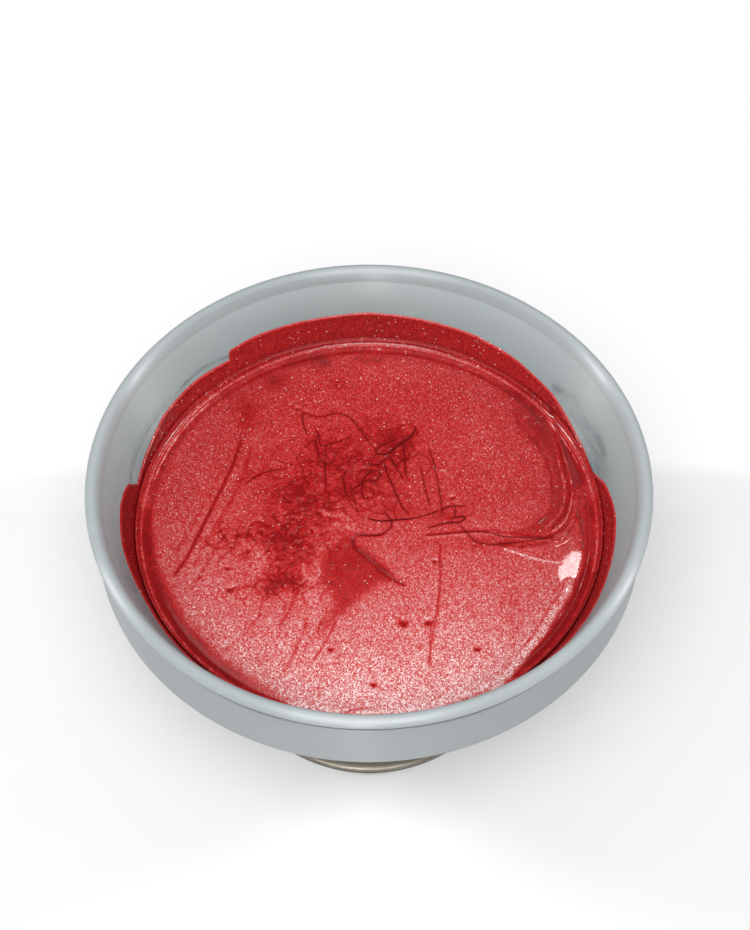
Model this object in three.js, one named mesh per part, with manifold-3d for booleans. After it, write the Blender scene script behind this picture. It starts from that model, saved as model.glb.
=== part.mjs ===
// A free-standing open paint bowl, filled with metallic paint.
// A moulded inner bowl hangs by its rolled lip inside a moulded outer shell, and three screws,
// put in from below, clamp a spun steel foot and the shell to bosses under the bowl.
// Millimetres, +Z up. The origin is on the ground, on the bowl's axis.
import * as THREE from "three";
import { mergeVertices } from "three/addons/utils/BufferGeometryUtils.js";
import Module from "manifold-3d";

// Driving dimensions
const RIM_RADIUS = 75;
const TOTAL_HEIGHT = 90;
const PAINT_LEVEL = 68.2;
const FOOT_RADIUS = 41.3;
const GAP = 0.3; // between pieces that touch

// Facets
const AROUND = 48; // flats round every turned piece
const CURVE_STEPS = 4;
const HEAD_SIDES = 24;
const SHANK_SIDES = 16;
const PILOT_SIDES = 12;
const HEX_SIDES = 6;
const WELD_DISTANCE = 1e-4;

// Inner bowl: its inside is half an ellipsoid, cut off at the lip
const BOWL_CENTRE_Z = 130;
const BOWL_RADIUS = 77.3;
const BOWL_DEPTH = 107;
const BOWL_WALL_TOP = 1.3;
const BOWL_WALL_BOTTOM = 2.4;
const LIP_BOTTOM_Z = TOTAL_HEIGHT - 3.4;
const LIP_INNER_Z = TOTAL_HEIGHT - 2;
const LIP_ROUND = 1.7;
const LIP_CREST_RADIUS = RIM_RADIUS - LIP_ROUND;
const LIP_SHOULDER = 0.7; // level part of the crest before it turns down into the bowl
const BOSS_RADIUS = 4.2;
const BOSS_OVERLAP = 5; // run of each boss into the bowl's wall
const PILOT_OVERLAP = 1.5;

// Outer shell: a straight skirt with a tight shoulder, over a second ellipsoid
const SKIRT_RADIUS = 73.6;
const SKIRT_WALL = 1.2;
const SHOULDER_ROUND = 1.6;
const SKIRT_BOTTOM_Z = 67.1;
const SEAL_JOINT = 2.4; // between the skirt and the lip
const SKIRT_TOP_Z = LIP_BOTTOM_Z - SEAL_JOINT;
const SEAL_SETBACK = 0.4;
const SHELL_CENTRE_Z = 105;
const SHELL_RADIUS = 73;
const SHELL_DEPTH = 104;
const SHELL_WALL = 2;
const SHELL_BASE_Z = 14;

// Foot and what holds it
const FOOT_SHEET = 1;
const FOOT_TOP_Z = SHELL_BASE_Z - GAP;
const FOOT_NECK_RADIUS = 35.6;
const FOOT_EDGE_Z = 0.6;
const FOOT_EDGE_HEIGHT = 1;
const FOOT_BEND_ROUND = 1.6;
const FOOT_OPENING_RADIUS = 14;
// Where the flare's curves are pulled to: how far outside the neck, and how far above the edge
const FLARE_PULL_OUT = 1;
const FLARE_PULL_UP = 3.8;
const FLARE_INNER_PULL_UP = 3;
const FLARE_INNER_DROP = 0.2;
const RING_INNER_RADIUS = 37.8;
const RING_SETBACK = 0.2;
const RING_STEP_Z = 0.8;
const RING_TOP_Z = 1.8;
const RING_CHAMFER = 1.5;
const SCREW_COUNT = 3;
const SCREW_CIRCLE_RADIUS = 26;
const SCREW_RADIUS = 1.6;
const SCREW_HEAD_RADIUS = 3.1;
const SCREW_HEAD_HEIGHT = 2.2;
const SCREW_LENGTH = 8.6;
const SCREW_HEAD_OVERLAP = 0.5;
const HEX_SOCKET_RADIUS = 1.3;
const HEX_SOCKET_DEPTH = 1.4;
const WASHER_RADIUS = 4;
const WASHER_THICKNESS = 0.8;
const HOLES_TOP_Z = 20; // above every screw hole in the foot and the shell

// Wet paint on the wall above the level, going round from +X towards +Y:
// [degrees, height of its upper edge above the paint level]
const FILM_THICKNESS = 0.5;
const FILM_ROWS = 4;
const FILM_EDGE = [
  [0, 6.6],
  [10, 3.0],
  [16, 1.5],
  [24, 2.4],
  [31, 3.6],
  [44, 5.8],
  [52, 7.0],
  [64, 7.9],
  [90, 8.9],
  [119, 8.7],
  [127, 7.6],
  [135, 6.2],
  [151, 5.9],
  [158, 4.6],
  [166, 3.4],
  [176, 7.6],
  [184, 8.5],
  [192, 8.4],
  [207, 4.6],
  [222, 4.4],
  [270, 7.0],
  [310, 8.0],
  [322, 9.8],
  [340, 7.9],
];

const wasm = await Module();
wasm.setup();

const bowlPlastic = () =>
  new THREE.MeshStandardMaterial({ color: 0xa9b1b4, roughness: 0.42, metalness: 0 });
const brushedSteel = () =>
  new THREE.MeshStandardMaterial({ color: 0xa39b8c, roughness: 0.38, metalness: 1 });
const plainSteel = () =>
  new THREE.MeshStandardMaterial({ color: 0x9a9a98, roughness: 0.3, metalness: 1 });
const darkRubber = () =>
  new THREE.MeshStandardMaterial({ color: 0x3a3c3d, roughness: 0.8, metalness: 0 });
const metallicPaint = () =>
  new THREE.MeshStandardMaterial({ color: 0xb3252c, roughness: 0.35, metalness: 0.45 });
const wetPaint = () =>
  new THREE.MeshStandardMaterial({ color: 0x8f1d22, roughness: 0.2, metalness: 0.1 });

function named(name, geometry, material) {
  const mesh = new THREE.Mesh(geometry, material);
  mesh.name = name;
  return mesh;
}

// Turns a path of (radius, height) about the Z axis.
function turned(path, curveSteps = CURVE_STEPS) {
  const geometry = new THREE.LatheGeometry(path.getPoints(curveSteps), AROUND);
  geometry.rotateX(Math.PI / 2);
  return geometry;
}

function toSolid(geometry) {
  const bare = geometry.clone();
  bare.deleteAttribute("normal");
  bare.deleteAttribute("uv");
  const merged = mergeVertices(bare, WELD_DISTANCE);
  return new wasm.Manifold(
    new wasm.Mesh({
      numProp: 3,
      vertProperties: merged.attributes.position.array,
      triVerts: new Uint32Array(merged.index.array),
    }),
  );
}

function toGeometry(solid) {
  const { vertProperties, triVerts } = solid.getMesh();
  const geometry = new THREE.BufferGeometry();
  geometry.setAttribute("position", new THREE.BufferAttribute(vertProperties, 3));
  geometry.setIndex(new THREE.BufferAttribute(triVerts, 1));
  return geometry;
}

// An upright cylinder or prism between two heights.
function post(radius, bottomZ, topZ, x, y, sides) {
  const geometry = new THREE.CylinderGeometry(radius, radius, topZ - bottomZ, sides);
  geometry.rotateX(Math.PI / 2);
  geometry.translate(x, y, (topZ + bottomZ) / 2);
  return geometry;
}

function screwPlaces() {
  return Array.from({ length: SCREW_COUNT }, (_, i) => {
    const angle = Math.PI / 2 + (i * 2 * Math.PI) / SCREW_COUNT;
    return [SCREW_CIRCLE_RADIUS * Math.cos(angle), SCREW_CIRCLE_RADIUS * Math.sin(angle)];
  });
}

// Angle on an ellipse centred at centreZ at which its height is z, from straight down.
function angleAt(z, centreZ, depth) {
  return -Math.asin((centreZ - z) / depth);
}

function bowlRadiusAt(z) {
  return BOWL_RADIUS * Math.sqrt(1 - ((BOWL_CENTRE_Z - z) / BOWL_DEPTH) ** 2);
}

function innerBowl() {
  const inside = angleAt(LIP_INNER_Z, BOWL_CENTRE_Z, BOWL_DEPTH);
  const outerDepth = BOWL_DEPTH + BOWL_WALL_BOTTOM;
  const outside = angleAt(LIP_BOTTOM_Z, BOWL_CENTRE_Z, outerDepth);
  const outerRadius = BOWL_RADIUS + BOWL_WALL_TOP;
  const lipInner = bowlRadiusAt(LIP_INNER_Z);
  const path = new THREE.Path();
  path.absellipse(0, BOWL_CENTRE_Z, outerRadius, outerDepth, -Math.PI / 2, outside, false);
  path.lineTo(LIP_CREST_RADIUS, LIP_BOTTOM_Z);
  path.absarc(LIP_CREST_RADIUS, LIP_BOTTOM_Z + LIP_ROUND, LIP_ROUND, -Math.PI / 2, Math.PI / 2);
  path.quadraticCurveTo(lipInner + LIP_SHOULDER, TOTAL_HEIGHT, lipInner, LIP_INNER_Z);
  path.absellipse(0, BOWL_CENTRE_Z, BOWL_RADIUS, BOWL_DEPTH, inside, -Math.PI / 2, true);
  let solid = toSolid(turned(path));
  const undersideZ = BOWL_CENTRE_Z - outerDepth;
  const bossFootZ = SHELL_BASE_Z + SHELL_WALL + GAP;
  for (const [x, y] of screwPlaces()) {
    const boss = post(BOSS_RADIUS, bossFootZ, undersideZ + BOSS_OVERLAP, x, y, HEAD_SIDES);
    const pilot = post(SCREW_RADIUS + GAP, 0, undersideZ + PILOT_OVERLAP, x, y, PILOT_SIDES);
    solid = solid.add(toSolid(boss)).subtract(toSolid(pilot));
  }
  return named("inner_bowl", toGeometry(solid), bowlPlastic());
}

function withScrewHoles(solid, fromZ) {
  return screwPlaces().reduce((body, [x, y]) => {
    const hole = post(SCREW_RADIUS + GAP, fromZ, HOLES_TOP_Z, x, y, PILOT_SIDES);
    return body.subtract(toSolid(hole));
  }, solid);
}

function outerShell() {
  const ledgeTopZ = SKIRT_BOTTOM_Z + SHELL_WALL;
  const innerDepth = SHELL_DEPTH - SHELL_WALL;
  const innerRadius = SHELL_RADIUS - SHELL_WALL;
  const baseStart = angleAt(SHELL_BASE_Z, SHELL_CENTRE_Z, SHELL_DEPTH);
  const ledgeEnd = angleAt(SKIRT_BOTTOM_Z, SHELL_CENTRE_Z, SHELL_DEPTH);
  const insideTop = angleAt(ledgeTopZ, SHELL_CENTRE_Z, innerDepth);
  const insideBase = angleAt(SHELL_BASE_Z + SHELL_WALL, SHELL_CENTRE_Z, innerDepth);
  const path = new THREE.Path();
  path.moveTo(0, SHELL_BASE_Z);
  path.lineTo(FOOT_OPENING_RADIUS, SHELL_BASE_Z);
  path.absellipse(0, SHELL_CENTRE_Z, SHELL_RADIUS, SHELL_DEPTH, baseStart, ledgeEnd, false);
  path.absarc(
    SKIRT_RADIUS - SHOULDER_ROUND,
    SKIRT_BOTTOM_Z + SHOULDER_ROUND,
    SHOULDER_ROUND,
    -Math.PI / 2,
    0,
    false,
  );
  path.lineTo(SKIRT_RADIUS, SKIRT_TOP_Z);
  path.lineTo(SKIRT_RADIUS - SKIRT_WALL, SKIRT_TOP_Z);
  path.lineTo(SKIRT_RADIUS - SKIRT_WALL, ledgeTopZ);
  path.absellipse(0, SHELL_CENTRE_Z, innerRadius, innerDepth, insideTop, insideBase, true);
  path.lineTo(0, SHELL_BASE_Z + SHELL_WALL);
  const solid = withScrewHoles(toSolid(turned(path)), 0);
  return named("outer_shell", toGeometry(solid), bowlPlastic());
}

// Elastomer ring squeezed between the lip and the top of the skirt.
function lipSeal() {
  const path = new THREE.Path();
  const inner = SKIRT_RADIUS - SKIRT_WALL;
  path.moveTo(inner, SKIRT_TOP_Z + GAP);
  path.lineTo(SKIRT_RADIUS - SEAL_SETBACK, SKIRT_TOP_Z + GAP);
  path.lineTo(SKIRT_RADIUS - SEAL_SETBACK, LIP_BOTTOM_Z - GAP);
  path.lineTo(inner, LIP_BOTTOM_Z - GAP);
  path.closePath();
  return named("lip_seal", turned(path, 1), darkRubber());
}

// Spun from one sheet: a flat top with a large opening, a round neck and a flared skirt.
function steelFoot() {
  const neck = FOOT_NECK_RADIUS;
  const innerNeck = neck - FOOT_SHEET;
  const innerEdge = FOOT_RADIUS - FOOT_SHEET;
  const innerTopZ = FOOT_TOP_Z - FOOT_SHEET;
  const edgeTopZ = FOOT_EDGE_Z + FOOT_EDGE_HEIGHT;
  const innerPullZ = edgeTopZ + FLARE_INNER_PULL_UP;
  const path = new THREE.Path();
  path.moveTo(FOOT_OPENING_RADIUS, innerTopZ);
  path.lineTo(innerNeck - FOOT_BEND_ROUND, innerTopZ);
  path.quadraticCurveTo(innerNeck, innerTopZ, innerNeck, innerTopZ - FOOT_BEND_ROUND);
  path.quadraticCurveTo(neck, innerPullZ, innerEdge, edgeTopZ - FLARE_INNER_DROP);
  path.lineTo(innerEdge, FOOT_EDGE_Z);
  path.lineTo(FOOT_RADIUS, FOOT_EDGE_Z);
  path.lineTo(FOOT_RADIUS, edgeTopZ);
  path.quadraticCurveTo(
    neck + FLARE_PULL_OUT,
    edgeTopZ + FLARE_PULL_UP,
    neck,
    FOOT_TOP_Z - FOOT_BEND_ROUND,
  );
  path.quadraticCurveTo(neck, FOOT_TOP_Z, neck - FOOT_BEND_ROUND, FOOT_TOP_Z);
  path.lineTo(FOOT_OPENING_RADIUS, FOOT_TOP_Z);
  path.closePath();
  const solid = withScrewHoles(toSolid(turned(path)), FOOT_EDGE_Z);
  return named("steel_foot", toGeometry(solid), brushedSteel());
}

// Non-slip ring, pressed into the flare and standing just below the steel edge.
function footRing() {
  const underEdgeZ = FOOT_EDGE_Z - GAP;
  const inFlare = FOOT_RADIUS - FOOT_SHEET - GAP;
  const path = new THREE.Path();
  path.moveTo(RING_INNER_RADIUS, 0);
  path.lineTo(FOOT_RADIUS - RING_SETBACK, 0);
  path.lineTo(FOOT_RADIUS - RING_SETBACK, underEdgeZ);
  path.lineTo(inFlare, underEdgeZ);
  path.lineTo(inFlare, RING_STEP_Z);
  path.lineTo(inFlare - RING_CHAMFER, RING_TOP_Z);
  path.lineTo(RING_INNER_RADIUS, RING_TOP_Z);
  path.closePath();
  return named("foot_ring", turned(path, 1), darkRubber());
}

function footScrews() {
  const washerTopZ = FOOT_TOP_Z - FOOT_SHEET - GAP;
  const washerBottomZ = washerTopZ - WASHER_THICKNESS;
  const headTopZ = washerBottomZ - GAP;
  const headBottomZ = headTopZ - SCREW_HEAD_HEIGHT;
  const shankBottomZ = headTopZ - SCREW_HEAD_OVERLAP;
  const shankTopZ = headTopZ + SCREW_LENGTH;
  const socketTopZ = headBottomZ + HEX_SOCKET_DEPTH;
  const pieces = [];
  screwPlaces().forEach(([x, y], i) => {
    const head = toSolid(post(SCREW_HEAD_RADIUS, headBottomZ, headTopZ, x, y, HEAD_SIDES));
    const shank = toSolid(post(SCREW_RADIUS, shankBottomZ, shankTopZ, x, y, SHANK_SIDES));
    const socket = toSolid(post(HEX_SOCKET_RADIUS, 0, socketTopZ, x, y, HEX_SIDES));
    const screw = toGeometry(head.add(shank).subtract(socket));
    pieces.push(named(`foot_screw_${i + 1}`, screw, plainSteel()));
    const disc = toSolid(post(WASHER_RADIUS, washerBottomZ, washerTopZ, x, y, HEAD_SIDES));
    const hole = toSolid(post(SCREW_RADIUS + GAP, 0, HOLES_TOP_Z, x, y, SHANK_SIDES));
    pieces.push(named(`foot_washer_${i + 1}`, toGeometry(disc.subtract(hole)), plainSteel()));
  });
  return pieces;
}

function paintPool() {
  const radius = BOWL_RADIUS - GAP;
  const depth = BOWL_DEPTH - GAP;
  const top = angleAt(PAINT_LEVEL, BOWL_CENTRE_Z, depth);
  const path = new THREE.Path();
  path.absellipse(0, BOWL_CENTRE_Z, radius, depth, -Math.PI / 2, top, false);
  path.lineTo(0, PAINT_LEVEL);
  return named("paint_pool", turned(path), metallicPaint());
}

// Height of the wet film's upper edge above the paint level, at an angle in degrees.
function filmHeight(degrees) {
  const next = FILM_EDGE.findIndex(([angle]) => angle > degrees);
  const [endAngle, endHeight] = next < 0 ? [360, FILM_EDGE[0][1]] : FILM_EDGE[next];
  const [startAngle, startHeight] = FILM_EDGE.at(next < 0 ? -1 : next - 1);
  const share = (degrees - startAngle) / (endAngle - startAngle);
  return THREE.MathUtils.lerp(startHeight, endHeight, share);
}

// Thin skin of paint that follows the bowl's wall all round, from the level up to its ragged edge.
function paintFilm() {
  const startZ = PAINT_LEVEL + GAP;
  const positions = [];
  const index = [];
  for (let i = 0; i < AROUND; i++) {
    const angle = (i * 2 * Math.PI) / AROUND;
    const height = filmHeight((i * 360) / AROUND) - GAP;
    for (const inset of [GAP, GAP + FILM_THICKNESS]) {
      for (let row = 0; row < FILM_ROWS; row++) {
        const z = startZ + (height * row) / (FILM_ROWS - 1);
        const radius = bowlRadiusAt(z) - inset;
        positions.push(radius * Math.cos(angle), radius * Math.sin(angle), z);
      }
    }
  }
  // Each column is a ring of corners: up the wall side, then down the open side.
  const up = Array.from({ length: FILM_ROWS }, (_, row) => row);
  const down = up.map((row) => 2 * FILM_ROWS - 1 - row);
  const ring = [...up, ...down];
  for (let i = 0; i < AROUND; i++) {
    const here = i * ring.length;
    const there = ((i + 1) % AROUND) * ring.length;
    ring.forEach((a, k) => {
      const b = ring[(k + 1) % ring.length];
      index.push(here + a, there + a, there + b);
      index.push(here + a, there + b, here + b);
    });
  }
  const geometry = new THREE.BufferGeometry();
  geometry.setAttribute("position", new THREE.Float32BufferAttribute(positions, 3));
  geometry.setIndex(index);
  return named("paint_film", geometry, wetPaint());
}

const paintBowl = new THREE.Group();
paintBowl.add(innerBowl(), outerShell(), lipSeal());
paintBowl.add(steelFoot(), footRing(), ...footScrews());
paintBowl.add(paintPool(), paintFilm());

export default paintBowl;
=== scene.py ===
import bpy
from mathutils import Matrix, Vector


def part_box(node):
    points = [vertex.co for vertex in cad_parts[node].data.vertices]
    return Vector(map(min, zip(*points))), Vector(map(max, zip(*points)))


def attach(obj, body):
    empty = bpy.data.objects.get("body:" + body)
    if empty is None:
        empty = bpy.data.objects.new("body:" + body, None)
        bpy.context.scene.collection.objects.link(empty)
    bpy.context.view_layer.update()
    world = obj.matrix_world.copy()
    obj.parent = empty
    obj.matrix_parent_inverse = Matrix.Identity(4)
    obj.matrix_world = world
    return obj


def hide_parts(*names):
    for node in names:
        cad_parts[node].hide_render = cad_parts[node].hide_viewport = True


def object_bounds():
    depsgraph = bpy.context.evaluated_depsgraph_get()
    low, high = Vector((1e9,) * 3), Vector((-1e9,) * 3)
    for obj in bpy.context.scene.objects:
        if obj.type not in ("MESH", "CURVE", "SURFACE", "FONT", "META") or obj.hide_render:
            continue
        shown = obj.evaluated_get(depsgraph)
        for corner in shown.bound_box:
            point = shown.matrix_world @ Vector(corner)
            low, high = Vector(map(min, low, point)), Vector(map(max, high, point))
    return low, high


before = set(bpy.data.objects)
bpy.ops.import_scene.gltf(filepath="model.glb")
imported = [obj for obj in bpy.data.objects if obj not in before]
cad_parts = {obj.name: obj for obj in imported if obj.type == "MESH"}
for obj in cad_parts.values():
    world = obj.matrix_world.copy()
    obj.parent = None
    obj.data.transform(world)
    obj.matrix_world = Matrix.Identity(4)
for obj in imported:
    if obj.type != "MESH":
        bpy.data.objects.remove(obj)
CAD_BOX = [list(corner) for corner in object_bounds()]

import math

import bpy
import numpy as np
from mathutils import Vector, noise

# Lengths in this script are millimetres, and become metres where a mesh is made.
MM = 0.001


def node_box(node):
    low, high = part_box(node)
    return np.array(low) / MM, np.array(high) / MM


# Sizes read from the frame
RIM_RADIUS = CAD_BOX[1][0] / MM
RIM_TOP = CAD_BOX[1][2] / MM
SKIRT_RADIUS = node_box("outer_shell")[1][0]
SKIRT_TOP = node_box("outer_shell")[1][2]
SHELL_BASE = node_box("outer_shell")[0][2]
PAINT_LEVEL = node_box("paint_pool")[1][2]
FOOT_RADIUS = node_box("steel_foot")[1][0]
FOOT_TOP = node_box("steel_foot")[1][2]
FOOT_EDGE = node_box("steel_foot")[0][2]

# Sizes shared with the CAD part
BOWL_CENTRE, BOWL_RADIUS, BOWL_DEPTH = 130.0, 77.3, 107.0
SHELL_CENTRE, SHELL_RADIUS, SHELL_DEPTH = 105.0, 73.0, 104.0
SKIRT_BOTTOM, SKIRT_WALL, SHELL_WALL = 67.1, 1.2, 2.0
WALL_TOP, WALL_BOTTOM = 1.3, 2.4
LIP_HEIGHT, LIP_ROUND = 3.4, 1.7
FOOT_NECK, FOOT_OPENING, FOOT_SHEET = 35.6, 14.0, 1.0
FOOT_BEND, FOOT_EDGE_HEIGHT = 1.6, 1.0
RING_INNER, RING_STEP, RING_CHAMFER, GAP = 37.8, 0.8, 1.5, 0.3
SHANK_RADIUS, HEAD_HEIGHT, SOCKET_RADIUS, SOCKET_DEPTH, WASHER_HOLE = 1.6, 2.2, 1.3, 1.4, 1.9
PAINT_FLOOR = 24.0

# Steps round a turned piece
AROUND = 288
FINE_AROUND = 720
SMALL_AROUND = 48

# Where the window shows in the paint, in plan
WINDOW_SPOT = (54.8, -15.0)


# ---- profiles and meshes

def ellipse(centre, radius_r, radius_z, start, end, steps):
    """Points (r, z) on an ellipse about (centre r, centre z); angles in degrees, 0 outwards."""
    turn = np.radians(np.linspace(start, end, steps + 1))
    return np.stack([centre[0] + radius_r * np.cos(turn), centre[1] + radius_z * np.sin(turn)], 1)


def bezier(start, pull, end, steps):
    t = np.linspace(0, 1, steps + 1)[:, None]
    start, pull, end = np.array(start), np.array(pull), np.array(end)
    return (1 - t) ** 2 * start + 2 * t * (1 - t) * pull + t ** 2 * end


def line(start, end, steps=1):
    t = np.linspace(0, 1, steps + 1)[:, None]
    return (1 - t) * np.array(start) + t * np.array(end)


def profile(*stretches):
    """Joins stretches end to end, dropping points that repeat."""
    points = np.concatenate([np.atleast_2d(s) for s in stretches])
    keep = [0]
    for i in range(1, len(points)):
        if np.linalg.norm(points[i] - points[keep[-1]]) > 1e-4:
            keep.append(i)
    return points[keep]


def bowl_radius(z):
    """Inside radius of the bowl at a height."""
    return BOWL_RADIUS * np.sqrt(1 - ((BOWL_CENTRE - z) / BOWL_DEPTH) ** 2)


def angle_at(z, centre, depth):
    """Angle, for ellipse(), of the point at a height on a bowl's profile."""
    return -math.degrees(math.asin((centre - z) / depth))


def add_to_scene(name, data):
    """A scene object for a mesh, a light or a camera."""
    obj = bpy.data.objects.new(name, data)
    bpy.context.scene.collection.objects.link(obj)
    return obj


def make_object(name, vertices, faces, material, node=None):
    """A piece of the object, that stands for a CAD node."""
    mesh = bpy.data.meshes.new(name)
    mesh.from_pydata((np.asarray(vertices) * MM).tolist(), [], faces)
    mesh.update()
    mesh.polygons.foreach_set("use_smooth", np.ones(len(mesh.polygons), bool))
    mesh.materials.append(material)
    obj = add_to_scene(name, mesh)
    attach(obj, "root")
    if node:
        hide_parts(node)
    return obj


def ring_faces(rings, around, closed=False, first=0):
    """Quads between rings of vertices, which follow each other from the vertex numbered first."""
    faces = []
    for ring in range(rings if closed else rings - 1):
        a, b = first + ring * around, first + (ring + 1) % rings * around
        for i in range(around):
            j = (i + 1) % around
            faces.append([a + i, b + i, b + j, a + j])
    return faces


def turned_mesh(points, around=AROUND, closed=False, at=(0.0, 0.0)):
    """Vertices and faces of an anticlockwise (r, z) profile turned about a vertical axis.
    A profile that isn't closed on itself starts and ends on the axis."""
    angles = np.linspace(0, 2 * np.pi, around, endpoint=False)
    vertices, rings = [], []
    for r, z in points:
        start = len(vertices)
        if r < 1e-6:
            vertices.append((at[0], at[1], z))
            rings.append([start] * around)
        else:
            vertices += [(at[0] + r * math.cos(a), at[1] + r * math.sin(a), z) for a in angles]
            rings.append(list(range(start, start + around)))
    pairs = list(zip(rings, rings[1:]))
    if closed:
        pairs.append((rings[-1], rings[0]))
    faces = []
    for low, high in pairs:
        for i in range(around):
            j = (i + 1) % around
            face = [low[i], low[j], high[j], high[i]]
            faces.append(list(dict.fromkeys(face)))
    return vertices, faces


def turned(name, points, material, node=None, closed=False, around=AROUND, at=(0.0, 0.0)):
    vertices, faces = turned_mesh(points, around, closed, at)
    return make_object(name, vertices, faces, material, node)


def curve_through(points, step=0.4):
    """A smooth line through points (Catmull-Rom), with a point about every step."""
    points = np.array(points, float)
    ends = np.vstack([2 * points[0] - points[1], points, 2 * points[-1] - points[-2]])
    out = []
    for p0, p1, p2, p3 in zip(ends, ends[1:], ends[2:], ends[3:]):
        count = max(2, int(np.linalg.norm(p2 - p1) / step))
        t = np.linspace(0, 1, count, endpoint=False)[:, None]
        out.append(0.5 * (2 * p1 + (p2 - p0) * t + (2 * p0 - 5 * p1 + 4 * p2 - p3) * t ** 2
                          + (3 * p1 - p0 - 3 * p2 + p3) * t ** 3))
    return np.vstack([*out, points[-1:]])


def distance_to_line(x, y, points, reach):
    """Distance from each of many points to a line through points, or infinity beyond reach."""
    path = curve_through(points, 0.5)
    low, high = path.min(0) - reach, path.max(0) + reach
    near = (x > low[0]) & (x < high[0]) & (y > low[1]) & (y < high[1])
    out = np.full(x.shape, np.inf)
    if near.any():
        px, py = x[near][:, None], y[near][:, None]
        out[near] = np.sqrt(((px - path[:, 0]) ** 2 + (py - path[:, 1]) ** 2).min(1))
    return out


# ---- materials

class Nodes:
    """A material's node tree, with a Principled shader and short calls to add to it."""

    def __init__(self, name, **sockets):
        self.material = bpy.data.materials.new(name)
        self.material.use_nodes = True
        self.tree = self.material.node_tree
        self.shader = self.tree.nodes["Principled BSDF"]
        for key, value in sockets.items():
            self.shader.inputs[key.replace("_", " ")].default_value = value
        self.place = self.add("ShaderNodeTexCoord").outputs["Object"]

    def add(self, kind, inputs=None, **settings):
        node = self.tree.nodes.new(kind)
        for key, value in settings.items():
            setattr(node, key, value)
        for key, value in (inputs or {}).items():
            self.feed(node.inputs[key], value)
        return node

    def feed(self, socket, value):
        if isinstance(value, bpy.types.NodeSocket):
            self.tree.links.new(value, socket)
        else:
            socket.default_value = value

    def math(self, operation, a, b=0.0, clamp=False):
        return self.add("ShaderNodeMath", {0: a, 1: b}, operation=operation, use_clamp=clamp).outputs[0]

    def vector(self, operation, a, b=(0, 0, 0)):
        return self.add("ShaderNodeVectorMath", {0: a, 1: b}, operation=operation).outputs[0]

    def stretched(self, scale):
        return self.vector("MULTIPLY", self.place, scale)

    def noise(self, scale, detail=3.0, roughness=0.5, place=None):
        inputs = {"Vector": place or self.place, "Scale": scale, "Detail": detail, "Roughness": roughness}
        return self.add("ShaderNodeTexNoise", inputs).outputs["Fac"]

    def ramp(self, value, *stops):
        """A colour ramp; each stop is (position, grey or colour)."""
        node = self.add("ShaderNodeValToRGB", {"Fac": value})
        points = node.color_ramp.elements
        while len(points) < len(stops):
            points.new(0.5)
        for point, (position, colour) in zip(points, stops):
            point.position = position
            point.color = (*colour, 1) if hasattr(colour, "__len__") else (colour, colour, colour, 1)
        return node.outputs["Color"]

    def mix(self, factor, a, b):
        node = self.add("ShaderNodeMix", data_type="RGBA")
        self.feed(node.inputs["Factor"], factor)
        for key, value in (("A", a), ("B", b)):
            self.feed(node.inputs[key], (*value, 1) if isinstance(value, tuple) else value)
        return node.outputs["Result"]

    def attribute(self, name):
        return self.add("ShaderNodeAttribute", attribute_name=name).outputs["Fac"]

    def bump(self, height, strength, distance_mm, normal=None):
        inputs = {"Height": height, "Strength": strength, "Distance": distance_mm * MM}
        if normal:
            inputs["Normal"] = normal
        return self.add("ShaderNodeBump", inputs).outputs["Normal"]

    def cells(self, size_mm):
        """Random colours, one to each cell of about size_mm."""
        inputs = {"Vector": self.place, "Scale": 1 / (size_mm * MM)}
        return self.add("ShaderNodeTexVoronoi", inputs).outputs["Color"]

    def split(self, colour):
        return self.add("ShaderNodeSeparateColor", {"Color": colour}).outputs

    def set(self, socket, value):
        self.feed(self.shader.inputs[socket], value)

    def turned_finish(self):
        """Lets anisotropy follow the marks that turning leaves round the Z axis."""
        tangent = self.add("ShaderNodeTangent", direction_type="RADIAL", axis="Z")
        self.set("Tangent", tangent.outputs["Tangent"])


def bowl_plastic():
    """Satin grey plastic, turned smooth. Attributes: inside, painted light that makes the inner wall lighter
    and bluer; residue, painted shade that darkens the wall low down, the lip's far side and the skirt; scuff;
    and dust, pale specks that are painted glints.
    """
    m = Nodes("bowl_plastic", IOR=1.7, Anisotropic=0.95, Anisotropic_Rotation=0.25)
    m.turned_finish()
    outside = m.math("SUBTRACT", 1.0, m.attribute("inside"), True)
    m.set("Metallic", m.math("MULTIPLY", outside, 0.04))
    cloud = m.noise(45, 4)
    fine = m.noise(900, 2)
    grain = m.noise(5200, 2)
    tone = m.math("ADD", m.math("MULTIPLY", cloud, 0.75), m.math("MULTIPLY", fine, 0.25))
    base = m.ramp(tone, (0.3, (0.33, 0.352, 0.366)), (0.7, (0.368, 0.386, 0.399)))
    # Painted light: where inside is high, on the inner wall, the plastic is made lighter and bluer to stand
    # in for the light it gets.
    base = m.mix(m.attribute("inside"), base, (0.378, 0.462, 0.468))
    # Painted shade: darkens the inner wall low down, the lip's far side and near left, and the whole skirt.
    base = m.mix(m.attribute("painted_shade"), base, (0.09, 0.13, 0.132))
    streaks = m.noise(1.0, 4, 0.62, m.stretched((150, 150, 210)))
    smear = m.ramp(streaks, (0.35, 0.35), (0.65, 1.0))
    scuffed = m.math("MULTIPLY", m.attribute("scuff"), smear, True)
    base = m.mix(scuffed, base, (0.12, 0.148, 0.155))
    # Painted glints: sparse pale specks low on the wall, where stray flake would sparkle.
    speck = m.split(m.cells(0.24))[0]
    share = m.math("MULTIPLY", m.attribute("painted_glints"), 0.035)
    sparse = m.math("GREATER_THAN", speck, m.math("SUBTRACT", 1.0, share))
    base = m.mix(sparse, base, (0.8, 0.82, 0.82))
    m.set("Base Color", base)
    wear = m.math("ADD", cloud, m.math("MULTIPLY", grain, 0.4))
    m.set("Roughness", m.ramp(wear, (0.35, 0.33), (1.0, 0.44)))
    m.set("Normal", m.bump(grain, 0.05, 0.05, m.bump(cloud, 0.25, 0.25)))
    return m.material


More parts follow.
